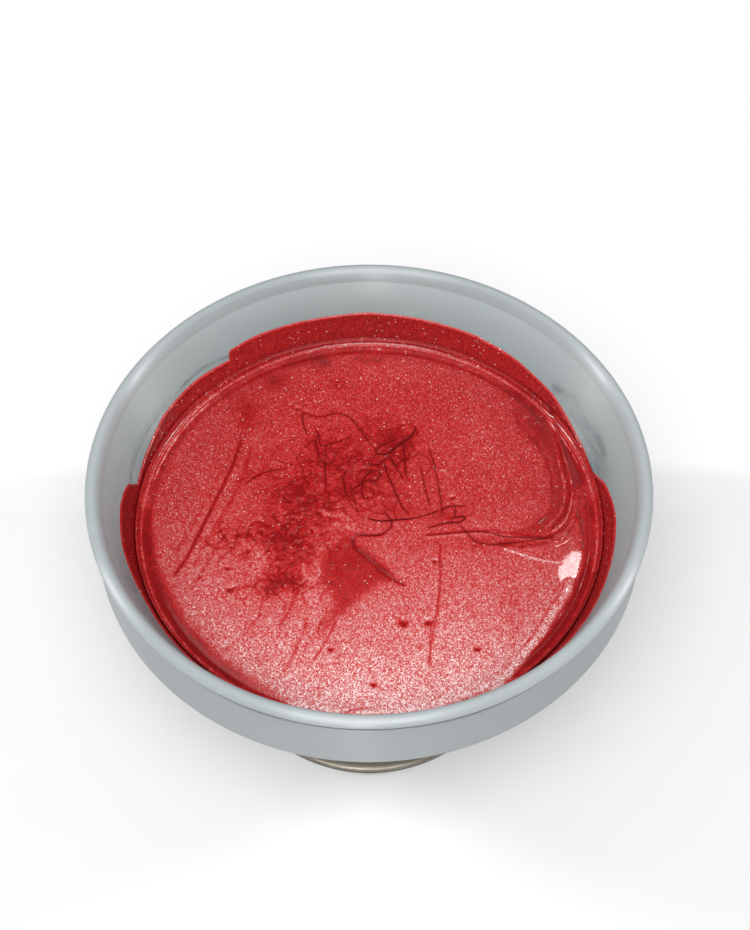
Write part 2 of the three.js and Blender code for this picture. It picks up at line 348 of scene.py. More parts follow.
def seal_rubber():
    m = Nodes("seal_rubber", IOR=1.5)
    grain = m.noise(3000, 3)
    m.set("Base Color", m.ramp(m.noise(300, 3), (0.3, (0.028, 0.029, 0.03)), (0.7, (0.048, 0.05, 0.052))))
    m.set("Roughness", m.ramp(grain, (0.3, 0.62), (0.7, 0.78)))
    m.set("Normal", m.bump(grain, 0.3, 0.05))
    return m.material


def brushed_steel(name, light, dark, line_scale, roughness):
    """Steel with brush lines; line_scale is how often they repeat along X, Y and Z."""
    m = Nodes(name, Metallic=1.0)
    lines = m.noise(1.0, 5, 0.7, m.stretched(line_scale))
    cloud = m.noise(120, 4, 0.6)
    tone = m.math("ADD", m.math("MULTIPLY", lines, 0.7), m.math("MULTIPLY", cloud, 0.3))
    m.set("Base Color", m.ramp(tone, (0.32, dark), (0.66, light)))
    m.set("Roughness", m.ramp(tone, (0.3, roughness + 0.08), (0.7, roughness - 0.06)))
    m.set("Normal", m.bump(lines, 0.35, 0.04))
    return m


def foot_steel():
    lines_round = (60, 60, 9000)
    m = brushed_steel("foot_steel", (0.43, 0.396, 0.322), (0.24, 0.218, 0.175), lines_round, 0.34)
    m.set("Anisotropic", 0.6)
    m.turned_finish()
    return m.material


def fastener_steel():
    marks = (2600, 2600, 2600)
    return brushed_steel("fastener_steel", (0.6, 0.6, 0.59), (0.36, 0.36, 0.355), marks, 0.3).material


def flake_paint(name, stops, darkening, sparkle_share, tilt, **sockets):
    """Liquid paint: a clear top over red, full of fine flakes that lie at slightly different angles.
    Attributes: dark, where flake is missing and where shade is painted, and pale, where flake has gathered
    and where light is painted."""
    m = Nodes(name, Coat_Roughness=0.03, Coat_IOR=1.5, **sockets)
    small = m.cells(0.27)
    flake = m.split(small)
    large = m.split(m.cells(0.5))
    dark = m.attribute("dark")
    tone = m.math("ADD", m.math("MULTIPLY", flake[1], 0.6), m.math("MULTIPLY", large[1], 0.16))
    tone = m.math("ADD", tone, m.math("MULTIPLY", m.noise(330, 3, 0.6), 0.1))
    tone = m.math("MULTIPLY", tone, m.math("SUBTRACT", 1.0, m.math("MULTIPLY", dark, 0.35), True))
    tone = m.math("ADD", tone, m.math("MULTIPLY", m.attribute("pale"), 0.45))
    tone = m.math("SUBTRACT", tone, m.math("ADD", m.math("MULTIPLY", dark, darkening), 0.1), True)
    base = m.ramp(tone, *stops)
    share = m.math("MULTIPLY", m.math("SUBTRACT", 1.0, dark, True), sparkle_share)
    sparkles = m.math("GREATER_THAN", flake[0], m.math("SUBTRACT", 1.0, share))
    m.set("Base Color", m.mix(sparkles, base, (0.95, 0.62, 0.58)))
    m.set("Metallic", m.math("MULTIPLY", sparkles, 0.5))
    clear = m.math("SUBTRACT", 1.0, m.math("MULTIPLY", dark, 0.6), True)
    m.set("Roughness", m.math("MULTIPLY", m.ramp(flake[2], (0.0, 0.22), (1.0, 0.4)), clear))
    centred = m.vector("SUBTRACT", small, (0.5, 0.5, 0.5))
    amount = m.math("MULTIPLY", clear, tilt)
    amounts = m.add("ShaderNodeCombineXYZ", {0: amount, 1: amount, 2: amount}).outputs[0]
    shift = m.vector("MULTIPLY", centred, amounts)
    surface = m.add("ShaderNodeNewGeometry").outputs["Normal"]
    m.set("Normal", m.vector("NORMALIZE", m.vector("ADD", surface, shift)))
    return m.material


def metallic_paint():
    stops = [(0.0, (0.19, 0.003, 0.004)), (0.14, (0.28, 0.004, 0.005)), (0.32, (0.39, 0.007, 0.008)),
             (0.52, (0.455, 0.031, 0.03)), (0.75, (0.52, 0.16, 0.16)), (0.9, (0.62, 0.32, 0.32)),
             (1.0, (0.82, 0.66, 0.65))]
    return flake_paint("metallic_paint", stops, 0.23, 0.007, 0.2, IOR=1.42, Coat_Weight=0.22)


def wet_paint():
    stops = [(0.0, (0.1, 0.003, 0.004)), (0.3, (0.27, 0.007, 0.008)), (0.75, (0.42, 0.016, 0.016)),
             (1.0, (0.6, 0.04, 0.04))]
    return flake_paint("wet_paint", stops, 0.1, 0.006, 0.15, IOR=1.4, Coat_Weight=0.06)


def strand_paint():
    m = Nodes("strand_paint", IOR=1.15)
    m.set("Base Color", m.ramp(m.noise(1500, 3), (0.3, (0.06, 0.002, 0.003)), (0.7, (0.11, 0.004, 0.005))))
    m.set("Roughness", m.ramp(m.noise(2500, 2), (0.3, 0.55), (0.7, 0.75)))
    return m.material


def floor_white():
    m = Nodes("floor_white", IOR=1.3)
    m.set("Base Color", m.ramp(m.noise(6, 3), (0.3, 0.745), (0.7, 0.765)))
    m.set("Roughness", m.ramp(m.noise(40, 2), (0.3, 0.85), (0.7, 0.95)))
    return m.material


PLASTIC = bowl_plastic()
RUBBER = seal_rubber()
FOOT_STEEL = foot_steel()
FASTENER = fastener_steel()
PAINT = metallic_paint()
WET_PAINT = wet_paint()
STRAND = strand_paint()


# ---- hard pieces

def set_attribute(obj, name, values):
    attribute = obj.data.attributes.new(name, "FLOAT", "POINT")
    attribute.data.foreach_set("value", np.asarray(values, np.float32))


def coordinates(obj):
    flat = np.zeros(len(obj.data.vertices) * 3)
    obj.data.vertices.foreach_get("co", flat)
    return flat.reshape(-1, 3) / MM


def around_distance(angles, centre):
    return np.abs((angles - centre + 180) % 360 - 180)


# Lines rubbed into the wall: (half width, strength, points as (angle round from +X, height over the paint))
WALL_LINES = [
    (0.55, 0.9, [(127, 6.6), (133.5, 7.8), (140, 7.8), (146, 7.0), (153, 7.4), (160, 7.2), (166, 6.9),
                 (173, 5.6)]),
    (0.4, 0.5, [(146, 8.4), (154, 8.6), (163, 8.4), (170, 7.4)]),
    (1.5, 0.9, [(37.5, 7.2), (33, 8.2), (30, 8.6), (25, 7.8), (18, 8.2), (14.5, 7.4)]),
    (0.9, 0.8, [(31, 6), (27.5, 5), (23, 4.8), (18.5, 5), (13.5, 6.4)]),
]

# Scuffed patches on the wall: (angle round from +X, half width, height over the paint, half height)
SCUFFS = [(150, 13, 3.5, 3.0), (163, 6, 2.0, 2.5), (27, 10, 7.0, 4.5), (14, 6, 4.5, 3.5), (212, 26, 9.0, 7.0),
          (318, 18, 10.0, 6.0)]

# Where the wall's painted shade is deepest: (angle round from +X, spread, how much more)
WALL_SHADE_SPOTS = [(90, 26, 0.5), (310, 26, 0.4)]


def scuff_marks(angles, above):
    """How scuffed the wall is at angles round and heights over the paint."""
    scuff = np.zeros(len(angles))
    for angle, width, height, tall in SCUFFS:
        across = around_distance(angles, angle) / width
        up = (above - height) / tall
        scuff = np.maximum(scuff, 0.75 * np.exp(-1.4 * (across ** 2 + up ** 2)))
    mean_radius = float(bowl_radius(PAINT_LEVEL + 7))
    for width, strength, points in WALL_LINES:
        points = [(math.radians(angle) * mean_radius, height) for angle, height in points]
        away = distance_to_line(np.radians(angles) * mean_radius, above, points, 3 * width)
        scuff = np.maximum(scuff, strength * np.exp(-(away / width) ** 2))
    return scuff


def wall_painted_shade(angles, above):
    """How much painted shade darkens the wall, most of it low down towards the paint."""
    wall_shade = 0.5 + 0.14 * np.clip(around_distance(angles, 90) / 60, 0, 1)
    wall_shade = wall_shade + 0.5 * np.clip(1.3 - around_distance(angles, 245) / 60, 0, 1)
    for angle, spread, more in WALL_SHADE_SPOTS:
        wall_shade = wall_shade + more * np.exp(-(around_distance(angles, angle) / spread) ** 2)
    return wall_shade * np.clip(1.1 - above / 17, 0, 1) ** 1.4


def lip_painted_shade(angles):
    """Painted shade on the lip: darker on its far side and on its near left."""
    far_side = 0.26 * np.clip(np.sin(np.radians(angles)), 0, 1) ** 2
    return far_side + 0.1 * (around_distance(angles, 225) < 30)


def mark_bowl(bowl):
    """Gives the bowl the attributes that its material reads."""
    x, y, z = coordinates(bowl).T
    angles = np.degrees(np.arctan2(y, x))
    above = z - PAINT_LEVEL
    on_inside = np.hypot(x, y) < bowl_radius(np.clip(z, 30, 88)) + 0.2
    on_lip = z > RIM_TOP - LIP_HEIGHT
    # Painted glints: pale specks low on the wall, most of them at the near left.
    glint_side = 0.04 + 0.96 * (around_distance(angles, 212) < 45)
    set_attribute(bowl, "scuff", on_inside * scuff_marks(angles, above))
    set_attribute(bowl, "painted_glints", on_inside * (1 - np.clip(above / 14, 0, 1)) * glint_side)
    # Painted shade on the inner wall and on the lip.
    painted_shade = on_inside * wall_painted_shade(angles, above)
    set_attribute(bowl, "painted_shade", np.maximum(painted_shade, on_lip * lip_painted_shade(angles)))
    # Painted light: the inner wall is marked for a lighter, bluer colour, and the rest of the bowl piece gets
    # a fifth of it.
    depth = np.clip((RIM_TOP - z) / 3.0, 0, 1)
    set_attribute(bowl, "inside", np.maximum(0.2, on_inside * depth))


def inner_bowl():
    lip_z = RIM_TOP - LIP_HEIGHT
    lip_inner = float(bowl_radius(lip_z))
    inside = angle_at(lip_z, BOWL_CENTRE, BOWL_DEPTH)
    outer_depth = BOWL_DEPTH + WALL_BOTTOM
    outer_radius = BOWL_RADIUS + WALL_TOP
    outside = angle_at(lip_z, BOWL_CENTRE, outer_depth)
    outside_r = outer_radius * math.cos(math.radians(outside))
    crest = RIM_RADIUS - LIP_ROUND
    wet = angle_at(PAINT_LEVEL - 4, BOWL_CENTRE, BOWL_DEPTH)
    points = profile(
        ellipse((0, BOWL_CENTRE), outer_radius, outer_depth, -90, outside, 40),
        line((outside_r + 0.3, lip_z), (crest, lip_z), 2),
        ellipse((crest, RIM_TOP - LIP_ROUND), LIP_ROUND, LIP_ROUND, -90, 90, 22),
        bezier((crest, RIM_TOP), (lip_inner + 0.6, RIM_TOP - 0.1), (lip_inner, lip_z), 14),
        ellipse((0, BOWL_CENTRE), BOWL_RADIUS, BOWL_DEPTH, inside, wet, 80),
        ellipse((0, BOWL_CENTRE), BOWL_RADIUS, BOWL_DEPTH, wet, -90, 40),
    )
    points[[0, -1], 0] = 0.0
    bowl = turned("bowl_with_lip", points, PLASTIC, "inner_bowl", around=FINE_AROUND)
    mark_bowl(bowl)


def outer_shell():
    # The third number darkens the whole skirt evenly: painted shade.
    shoulder, edge, skirt_painted_shade = 1.6, 0.35, 0.17
    inner_r, inner_d = SHELL_RADIUS - SHELL_WALL, SHELL_DEPTH - SHELL_WALL
    ledge_top = SKIRT_BOTTOM + SHELL_WALL
    ledge_z, under = SKIRT_BOTTOM + 0.5, SKIRT_BOTTOM
    base = angle_at(SHELL_BASE, SHELL_CENTRE, SHELL_DEPTH)
    ledge = angle_at(ledge_z, SHELL_CENTRE, SHELL_DEPTH)
    ledge_r = SHELL_RADIUS * math.cos(math.radians(ledge))
    inside_top = angle_at(ledge_top, SHELL_CENTRE, inner_d)
    inside_base = angle_at(SHELL_BASE + SHELL_WALL, SHELL_CENTRE, inner_d)
    points = profile(
        line((0, SHELL_BASE), (30, SHELL_BASE), 6),
        ellipse((0, SHELL_CENTRE), SHELL_RADIUS, SHELL_DEPTH, base, ledge, 60),
        bezier((ledge_r, ledge_z), (ledge_r + 0.2, under), (ledge_r + 0.9, under), 5),
        ellipse((SKIRT_RADIUS - shoulder, SKIRT_BOTTOM + shoulder), shoulder, shoulder, -90, 0, 12),
        line((SKIRT_RADIUS, SKIRT_BOTTOM + shoulder), (SKIRT_RADIUS, SKIRT_TOP - edge), 12),
        ellipse((SKIRT_RADIUS - edge, SKIRT_TOP - edge), edge, edge, 0, 90, 4),
        line((SKIRT_RADIUS - SKIRT_WALL, SKIRT_TOP), (SKIRT_RADIUS - SKIRT_WALL, ledge_top), 6),
        ellipse((0, SHELL_CENTRE), inner_r, inner_d, inside_top, inside_base, 30),
        line((20, SHELL_BASE + SHELL_WALL), (0, SHELL_BASE + SHELL_WALL)),
    )
    shell = turned("shell_with_skirt", points, PLASTIC, "outer_shell")
    set_attribute(shell, "painted_shade", np.full(len(shell.data.vertices), skirt_painted_shade))


def lip_seal():
    # The seal's dark rubber shows as the line under the lip, and also stands in for the shade there: partly
    # painted shade.
    low, high = node_box("lip_seal")
    outer, inner = high[0], SKIRT_RADIUS - SKIRT_WALL
    middle = (outer + inner) / 2
    half_r, half_z = (outer - inner) / 2, (high[2] - low[2]) / 2
    points = ellipse((middle, (low[2] + high[2]) / 2), half_r, half_z, 0, 345, 23)
    turned("lip_seal_ring", points, RUBBER, "lip_seal", closed=True)


def steel_foot():
    sheet, half = FOOT_SHEET, FOOT_SHEET / 2
    neck, bend, top = FOOT_NECK, FOOT_BEND, FOOT_TOP
    edge_top = FOOT_EDGE + FOOT_EDGE_HEIGHT
    under_top = top - sheet
    in_neck = neck - sheet
    points = profile(
        ellipse((FOOT_OPENING + half, top - half), half, half, 90, 270, 8),
        line((FOOT_OPENING + 2, under_top), (in_neck - bend, under_top), 4),
        bezier((in_neck - bend, under_top), (in_neck, under_top), (in_neck, under_top - bend), 6),
        bezier((in_neck, under_top - bend), (neck, edge_top + 3), (FOOT_RADIUS - sheet, edge_top - 0.2), 16),
        ellipse((FOOT_RADIUS - half, FOOT_EDGE + half), half, half, 180, 360, 8),
        ellipse((FOOT_RADIUS - half, edge_top), half, half, 0, 30, 3),
        bezier((FOOT_RADIUS - 0.3, edge_top + 0.4), (neck + 1, edge_top + 3.8), (neck, top - bend), 18),
        bezier((neck, top - bend), (neck, top), (neck - bend, top), 6),
        line((neck - bend, top), (FOOT_OPENING + half, top), 4),
    )
    turned("spun_foot", points, FOOT_STEEL, "steel_foot", closed=True)


def foot_ring():
    high = node_box("foot_ring")[1]
    inner, outer, top = RING_INNER, high[0], high[2]
    round_r, in_flare = 0.12, FOOT_RADIUS - FOOT_SHEET - GAP
    points = profile(
        ellipse((inner + round_r, round_r), round_r, round_r, 180, 270, 3),
        ellipse((outer - round_r, round_r), round_r, round_r, -90, 0, 3),
        line((outer, 0.28), (in_flare, 0.3)),
        line((in_flare, RING_STEP), (in_flare - RING_CHAMFER, top)),
        line((inner + 0.3, top), (inner, top - 0.3)),
    )
    turned("non_slip_ring", points, RUBBER, "foot_ring", closed=True)


def screw_profile(bottom, top, head_radius):
    """Profile of a pan-head screw seen from below, with a thread on its shank."""
    pitch, thread_depth, threads = 0.7, 0.28, 9
    thread_start = bottom + HEAD_HEIGHT + 1.6
    socket_top = bottom + SOCKET_DEPTH
    head_round, edge = 0.8, 0.15
    thread = []
    for turn in range(threads):
        thread.append((SHANK_RADIUS, thread_start + turn * pitch + 0.1))
        thread.append((SHANK_RADIUS - thread_depth, thread_start + (turn + 0.5) * pitch))
    return profile(
        (0, socket_top),
        (SOCKET_RADIUS * 0.9, socket_top),
        (SOCKET_RADIUS, socket_top - 0.1),
        (SOCKET_RADIUS, bottom + 0.15),
        (SOCKET_RADIUS + 0.2, bottom),
        ellipse((head_radius - head_round, bottom + head_round), head_round, head_round, -90, 0, 6),
        ellipse((head_radius - edge, bottom + HEAD_HEIGHT - edge), edge, edge, 0, 90, 2),
        (SHANK_RADIUS, bottom + HEAD_HEIGHT),
        thread,
        (SHANK_RADIUS - 0.3, top - 0.3),
        (SHANK_RADIUS - 0.7, top),
        (0, top),
    )


def centre_of(low, high):
    return (low[0] + high[0]) / 2, (low[1] + high[1]) / 2


def screw(number):
    node = f"foot_screw_{number}"
    low, high = node_box(node)
    centre = centre_of(low, high)
    points = screw_profile(low[2], high[2], (high[0] - low[0]) / 2)
    vertices, faces = turned_mesh(points, SMALL_AROUND, at=centre)
    vertices = np.array(vertices)
    hexagon(vertices, centre, SOCKET_RADIUS, low[2] + SOCKET_DEPTH)
    make_object(f"pan_screw_{number}", vertices, faces, FASTENER, node)


def washer(number):
    node = f"foot_washer_{number}"
    low, high = node_box(node)
    centre = centre_of(low, high)
    inner, outer, edge = WASHER_HOLE, (high[0] - low[0]) / 2, 0.12
    bottom, top = low[2], high[2]
    points = [(inner, bottom + edge), (inner + edge, bottom), (outer - edge, bottom), (outer, bottom + edge),
              (outer, top - edge), (outer - edge, top), (inner + edge, top), (inner, top - edge)]
    name = f"flat_washer_{number}"
    turned(name, points, FASTENER, node, closed=True, around=SMALL_AROUND, at=centre)


def hexagon(vertices, centre, radius, below):
    """Pulls the round socket's wall in to a six-sided one."""
    dx, dy = vertices[:, 0] - centre[0], vertices[:, 1] - centre[1]
    r = np.hypot(dx, dy)
    inside = (r < radius + 0.01) & (r > 0.01) & (vertices[:, 2] < below + 0.01)
    turn = (np.arctan2(dy, dx) % (np.pi / 3)) - np.pi / 6
    factor = math.cos(np.pi / 6) / np.cos(turn)
    for axis, delta in ((0, dx), (1, dy)):
        vertices[inside, axis] = centre[axis] + (delta * factor)[inside]


inner_bowl()
outer_shell()
lip_seal()
steel_foot()
foot_ring()
for number in (1, 2, 3):
    screw(number)
    washer(number)


# ---- paint

# How far the paint climbs the wall
CLIMB = 0.9

# Points in the paint are (x, y) in plan; +Y is away from the viewer.

# Fibres and skins of half-dry paint in the surface: (thickness, points)
STRANDS = [
    (0.16, [(-18.5, 37.4), (-14, 36), (-9, 37.2), (-5, 35.3), (-2, 30.4), (2, 24)]),
    (0.16, [(-18.5, 37.4), (-18.8, 35.5), (-18, 31.5), (-17, 30)]),
    (0.16, [(-15, 30.8), (-14.3, 30.5), (-13.9, 27.2), (-12.6, 25.8), (-9, 27), (-5, 29)]),
    (0.14, [(-17.6, 25.6), (-15.8, 27.6), (-14.9, 27.2), (-14.2, 23), (-13.4, 20.4), (-11.6, 19.4),
            (-10, 20.4)]),
    (0.13, [(-12, 25.8), (-12.1, 20.8), (-12.1, 14.5), (-12, 10)]),
    (0.15, [(-6.2, 17.3), (-7, 14.8), (-6.4, 9)]),
    (0.18, [(-6, 10), (-2.5, 12.4), (0, 16.6), (2.3, 16.9), (3, 15.5), (2, 13.8), (-1.4, 13.3), (-2, 10),
            (-1.6, 8)]),
    (0.34, [(2, 23), (5, 22.8), (8.6, 26), (11.8, 29), (13.3, 32)]),
    (0.16, [(2, 23.6), (3.2, 25.4), (7.3, 27.6)]),
    (0.22, [(-0.3, 19.4), (2.3, 19), (5, 21.5)]),
    (0.19, [(4.3, 19.3), (5.2, 15.5), (6.8, 11.3), (8.8, 5.4), (11, 2)]),
    (0.17, [(5.7, 22), (7, 19.4), (9.3, 14.5)]),
    (0.16, [(9.7, 25.8), (10, 22), (10, 17.6), (10.6, 14)]),
    (0.17, [(7.7, 19), (9.4, 20.8), (10.8, 21)]),
    (0.34, [(0, 0.7), (3, 0.0), (6, 0.2), (11.5, 0.7)]),
    (0.22, [(11.5, 0.7), (15, 1.7), (19.4, 3.5), (22.7, 4.9), (26, 4.7)]),
    (0.18, [(4, 3.2), (6, 0.3), (5.6, -2.4), (2.6, -4.7), (-2.4, -4.7)]),
    (0.13, [(14.5, 18), (15, 13.4), (16.6, 5.4)]),
    (0.15, [(17, 24), (18.5, 17), (19.6, 8), (20, 1.7)]),
    (0.26, [(16.2, -2.4), (20.7, -0.8), (24.8, -0.4), (26, 1.3), (22, 0.8)]),
    (0.14, [(23.6, 4.4), (23.4, 1.3)]),
    (0.2, [(15.6, -5), (25.6, -3.9), (31, -3.8), (36.7, -5.2), (44, -5.8), (49, -5.9)]),
    (0.17, [(24.7, -1.4), (28.3, -6.3), (32.3, -7.8), (38, -7.4), (45.7, -6.3), (49, -5.9)]),
    (0.14, [(-34, 13), (-29, 16.5), (-23, 18)]),
]

# Lines that are raised or sunk and change tone too
OUTER_FOLD = [(49, -5.9), (52.8, -2.9), (55.2, 4.4), (56.3, 12), (55.2, 17), (53.7, 27.6), (52, 34.7)]
INNER_FOLD = [(49.9, -3.3), (53.7, 2.4), (55.4, 10.5), (54.5, 17), (52.8, 31), (50, 42)]
CROSS_FOLD = [(35.4, -8.3), (41, -8.9), (47, -7.8), (52.3, -5.9), (56.4, 0)]
SCRATCH = [(36.6, -9.3), (40.8, -11), (45.4, -12.8), (51.5, -14)]
LEFT_GROOVE = [(-36, 27.6), (-38, 19), (-42.3, 7), (-48.3, -9.5), (-52, -17)]

# Folds and grooves in the surface: (height, half width, points). A groove's height is negative.
FOLDS = [
    (0.45, 0.7, OUTER_FOLD),
    (0.35, 0.6, INNER_FOLD),
    (0.22, 0.8, CROSS_FOLD),
    (0.28, 0.7, [(15.6, -5), (31, -3.8), (44, -5.8), (49, -5.9)]),
    (0.2, 0.35, SCRATCH),
    (-0.12, 0.8, LEFT_GROOVE),
    (-0.3, 0.8, [(-28, -1), (-31, 0), (-33, -3), (-33, -6)]),
    (-0.25, 0.6, [(-26, -5), (-27.5, -9), (-30, -12)]),
    (-0.2, 0.7, [(-4.6, -6.5), (-3.8, -9), (0, -13), (5, -18), (9, -20.7)]),
    (-0.15, 0.5, [(-4.6, -6.5), (-3, -4.8), (0, -4.6), (3, -4.2)]),
    (-0.2, 0.5, [(-12, -22), (-14, -27), (-17, -31)]),
    (-0.2, 0.5, [(-9, -32), (-11, -37), (-14, -43)]),
    (-0.01, 0.5, [(19.2, -8), (18.5, -25), (16.5, -36), (15.3, -45)]),
]

# Pits and specks: (x, y, radius, depth)
PITS = [(9, -32.3, 1.1, 0.5), (15.4, -32.2, 0.9, 0.45), (-10.2, -40.3, 0.7, 0.4), (1, -51, 0.7, 0.3),
        (-37, -21.7, 0.8, 0.5), (-19, -7.2, 0.8, 0.3), (28, -40.5, 0.8, 0.3), (-38, -15, 0.6, 0.3),
        (-20, 39, 0.5, 0.4), (-18, 40.5, 0.4, 0.3), (22.9, 8, 0.6, 0.5), (17.5, -13, 0.5, 0.3)]

# Patches with little flake in them, darker: (x, y, radius along, radius across, turn in degrees, strength)
DARK_PATCHES = [
    (-27, 49, 3.5, 2.5, 20, 0.6), (-20, 56.5, 4, 2, 10, 0.6), (-13.5, 56.5, 3, 2.5, 0, 0.8),
    (-9, 48, 2, 2, 0, 0.4), (2, 57, 6, 1.8, 5, 0.5), (-34.6, 39, 3, 5, 10, 0.35), (-35, 33, 2, 2, 0, 0.35),
    (4, 30, 6, 4, -40, 0.3), (-18, 8, 9, 5, -20, 0.35), (-22, -6, 8, 8, -35, 0.35),
    (-23, -19, 5, 3, 30, 0.45), (2, 16, 5, 5, 0, 0.35), (8, 4, 6, 2, 0, 0.35), (22, 1, 5, 2, 10, 0.35),
    (45, 33, 3, 8, 25, 0.45), (38, -24, 3, 14, 0, 0.15), (34, -7.5, 16, 2.4, 2, 0.35),
]

# Darker areas with an outline: (strength, softness of the edge, corners)
DARK_AREAS = [
    (0.6, 1.6, [(-6, -5), (0, -10), (9, -20), (3, -19.5), (-4, -26), (-13, -36), (-9, -26), (-13, -19),
                 (-11, -9)]),
    (0.75, 3.0, [(40, 45), (46, 36), (49.5, 26), (51.5, 18), (52, 10), (51, 5), (48, 1.5), (44, -2), (40, -4),
                 (46, -4.5), (51, -1), (54.5, 5), (55, 12), (53, 22), (50, 34), (44, 44)]),
    (0.6, 1.0, [(52.5, 31), (56.5, 12), (59.5, 12), (60.8, 14), (57.5, 25), (53.5, 33)]),
    (0.45, 1.2, [(57, 3), (57, -19), (62, -19), (64, -8), (64, 8), (60, 6)]),
    (1.00, 1.2, [(57, -17), (54.6, -20.8), (53.6, -24), (50.4, -29), (46.4, -36), (42.8, -41), (38.5, -47),
                 (33, -53), (45, -48), (56, -33), (61.5, -18)]),
    (0.8, 2.0, [(-57, -14), (-49, -31), (-39, -43), (-22, -56), (-26, -59), (-46, -46), (-61, -20), (-64, 5),
                 (-61, 5)]),
    (0.4, 2.5, [(-62, 10), (-58, 28), (-46, 44), (-25, 58), (0, 62), (30, 57), (50, 38), (53, 40), (30, 62),
                 (-30, 62)]),
]

# Lines with little flake in them, darker: (half width, strength, points)
DARK_LINES = [
    (0.6, 0.7, [*OUTER_FOLD, (50.7, 40)]),
    (0.5, 0.6, [*INNER_FOLD, (44, 48)]),
    (0.5, 0.5, [*CROSS_FOLD, (58, 8)]),
    (0.5, 0.5, [(42, 34), (48, 24), (50.5, 14), (50, 4), (46, -1)]),
    (0.5, 0.45, LEFT_GROOVE),
    (0.6, 0.3, [(-33, 25), (-36, 12), (-41, 0), (-47, -14)]),
    (0.6, 0.25, [(-40, 20), (-46, 4), (-52, -10)]),
    (0.5, 0.3, [(-38, -2), (-43, -12), (-47, -22)]),
    (0.3, 0.45, [(-37, 13.5), (-34, 14.5), (-30, 16.5), (-26, 24), (-22, 28)]),
    (0.28, 0.4, [(19.2, -8), (18.9, -13), (19.4, -19), (18.2, -25), (17.4, -30), (15.8, -36), (15.8, -45)]),
    (0.45, 0.75, [(-4.5, -6), (-3.4, -9), (1, -13), (6, -18), (9, -20.5)]),
    (0.4, 0.65, [(-4.5, -6), (-3, -4.4), (0, -4.2), (3, -4.5)]),
    (0.3, 0.45, [(52.1, -20.4), (50.3, -24.3), (47.2, -29), (43.3, -36), (39.7, -40.7), (35, -47)]),
    (0.35, 0.7, [(57.2, 3), (58, -3), (57.6, -10)]),
    (0.35, 0.7, [(55.6, 11.5), (58.2, 11.2), (57.5, 17)]),
    (0.5, 0.5, [(-36, -5), (-33, -4), (-31, -7), (-34, -12)]),
    (0.5, 0.4, [(-19, -22), (-21, -28), (-24, -34)]),
    (0.4, 0.45, [(-15, -27), (-18, -37), (-22, -47)]),
    (0.4, 0.4, [(-11, -29), (-14, -35)]),
    (0.4, 0.35, [(-29, -30), (-33, -36), (-38, -41)]),
    (0.35, 0.6, [(-7, -59.6), (-4, -58.6), (-1, -58.2)]),
    (0.5, 0.5, [(12, 33), (13.5, 30), (10, 27), (6, 25), (2, 22.5)]),
    (0.4, 0.35, [(-31, 22), (-28, 18), (-25, 12)]),
]

# Where half-dry skin has broken into a web of dark veins:
# (x, y, radius along, radius across, turn in degrees, strength)
WEBS = [(-9, 21, 11, 7, 10, 0.9), (-17, 6, 10, 8, -20, 0.9), (-22, -6, 9, 9, 0, 0.9), (-3, 11, 8, 6, 0, 0.7),
        (7, 25, 5, 7, -40, 0.8), (-24, -20, 7, 4, 10, 0.5), (-36, -6, 4, 4, 0, 0.4)]


def loose_threads(seed, count):
    """Short curly lines in the broken skin, as (half width, points)."""
    random = np.random.default_rng(seed)
    threads = []
    for _ in range(count):
        px, py, along, across = WEBS[random.integers(len(WEBS))][:4]
        place = np.array([px + along * random.uniform(-0.9, 0.9), py + across * random.uniform(-0.9, 0.9)])
        heading, curl = random.uniform(0, 2 * np.pi), random.uniform(-0.35, 0.35)
        points = [place]
        for _ in range(random.integers(6, 16)):
            heading += curl + random.normal(0, 0.25)
            place = place + 0.75 * np.array([math.cos(heading), math.sin(heading)])
            points.append(place)
        threads.append((random.uniform(0.17, 0.27), points))
    return threads


THREADS = loose_threads(11, 130)

# A low ridge along the near right of the paint: (half width, height, points)
RIDGE = (1.25, 0.12, [(53.4, -20.4), (51.8, -24.3), (48.7, -29), (44.8, -36), (41.2, -40.7), (36.5, -47),
                      (32, -52)])

# Lighter streaks, most where flake has gathered, two of them painted highlights: (half width, strength,
# points)
PALE_STREAKS = [
    (RIDGE[0], 0.26, RIDGE[2]),
    (0.3, 0.7, [(51.5, 34), (54, 24), (56, 12), (55.4, 5.4), (53.6, 0), (50, -3.6)]),
    (0.25, 0.5, [(52.6, 22), (53.9, 11.6), (53.3, 5.4), (51.4, 1.5), (48, -2.6)]),
    # Painted highlights: the side lamps' reflections in the meniscus, at the left and at the right.
    (0.3, 1.2, [(-45.6, 40.8), (-50.5, 34.7), (-54.6, 27.8), (-57.6, 20.5), (-59.4, 14.6)]),
    (0.3, 1.2, [(50.6, 34.4), (54, 28.7), (56.6, 23.2), (58, 19.6)]),
    (0.35, 0.8, SCRATCH),
    (1.3, 0.16, [(-16, -24), (-14, -27), (-16, -31)]),
    (1.5, 0.16, [(-33, -7), (-29, -11), (-31, -17)]),
    (1.0, 0.16, [(-12, 3), (-7, 1), (-3, -3)]),
    (1.0, 0.16, [(-9, -1), (-4, -2.5)]),
    (0.5, 0.2, [(-17.5, -14), (-17.5, -17), (-15.5, -19), (-13.5, -17), (-14, -14)]),
    (3.0, 0.12, [(-54, 22), (-50, 33), (-44, 42)]),
    (3.0, 0.12, [(0, 52), (8, 53), (16, 50)]),
]


def smooth_noise(x, y, size, seed):
    places = zip(x.ravel() / size, y.ravel() / size)
    return np.array([noise.noise(Vector((a, b, seed))) for a, b in places]).reshape(x.shape)


def along_line(x, y, points, width, reach=3, power=2):
    """1 on a line through points, falling off over its half width."""
    return np.exp(-(distance_to_line(x, y, points, reach * width) / width) ** power)


def spot(x, y, centre_x, centre_y, radius):
    """1 at a round spot's centre, and a third at its edge."""
    return np.exp(-((x - centre_x) ** 2 + (y - centre_y) ** 2) / radius ** 2)


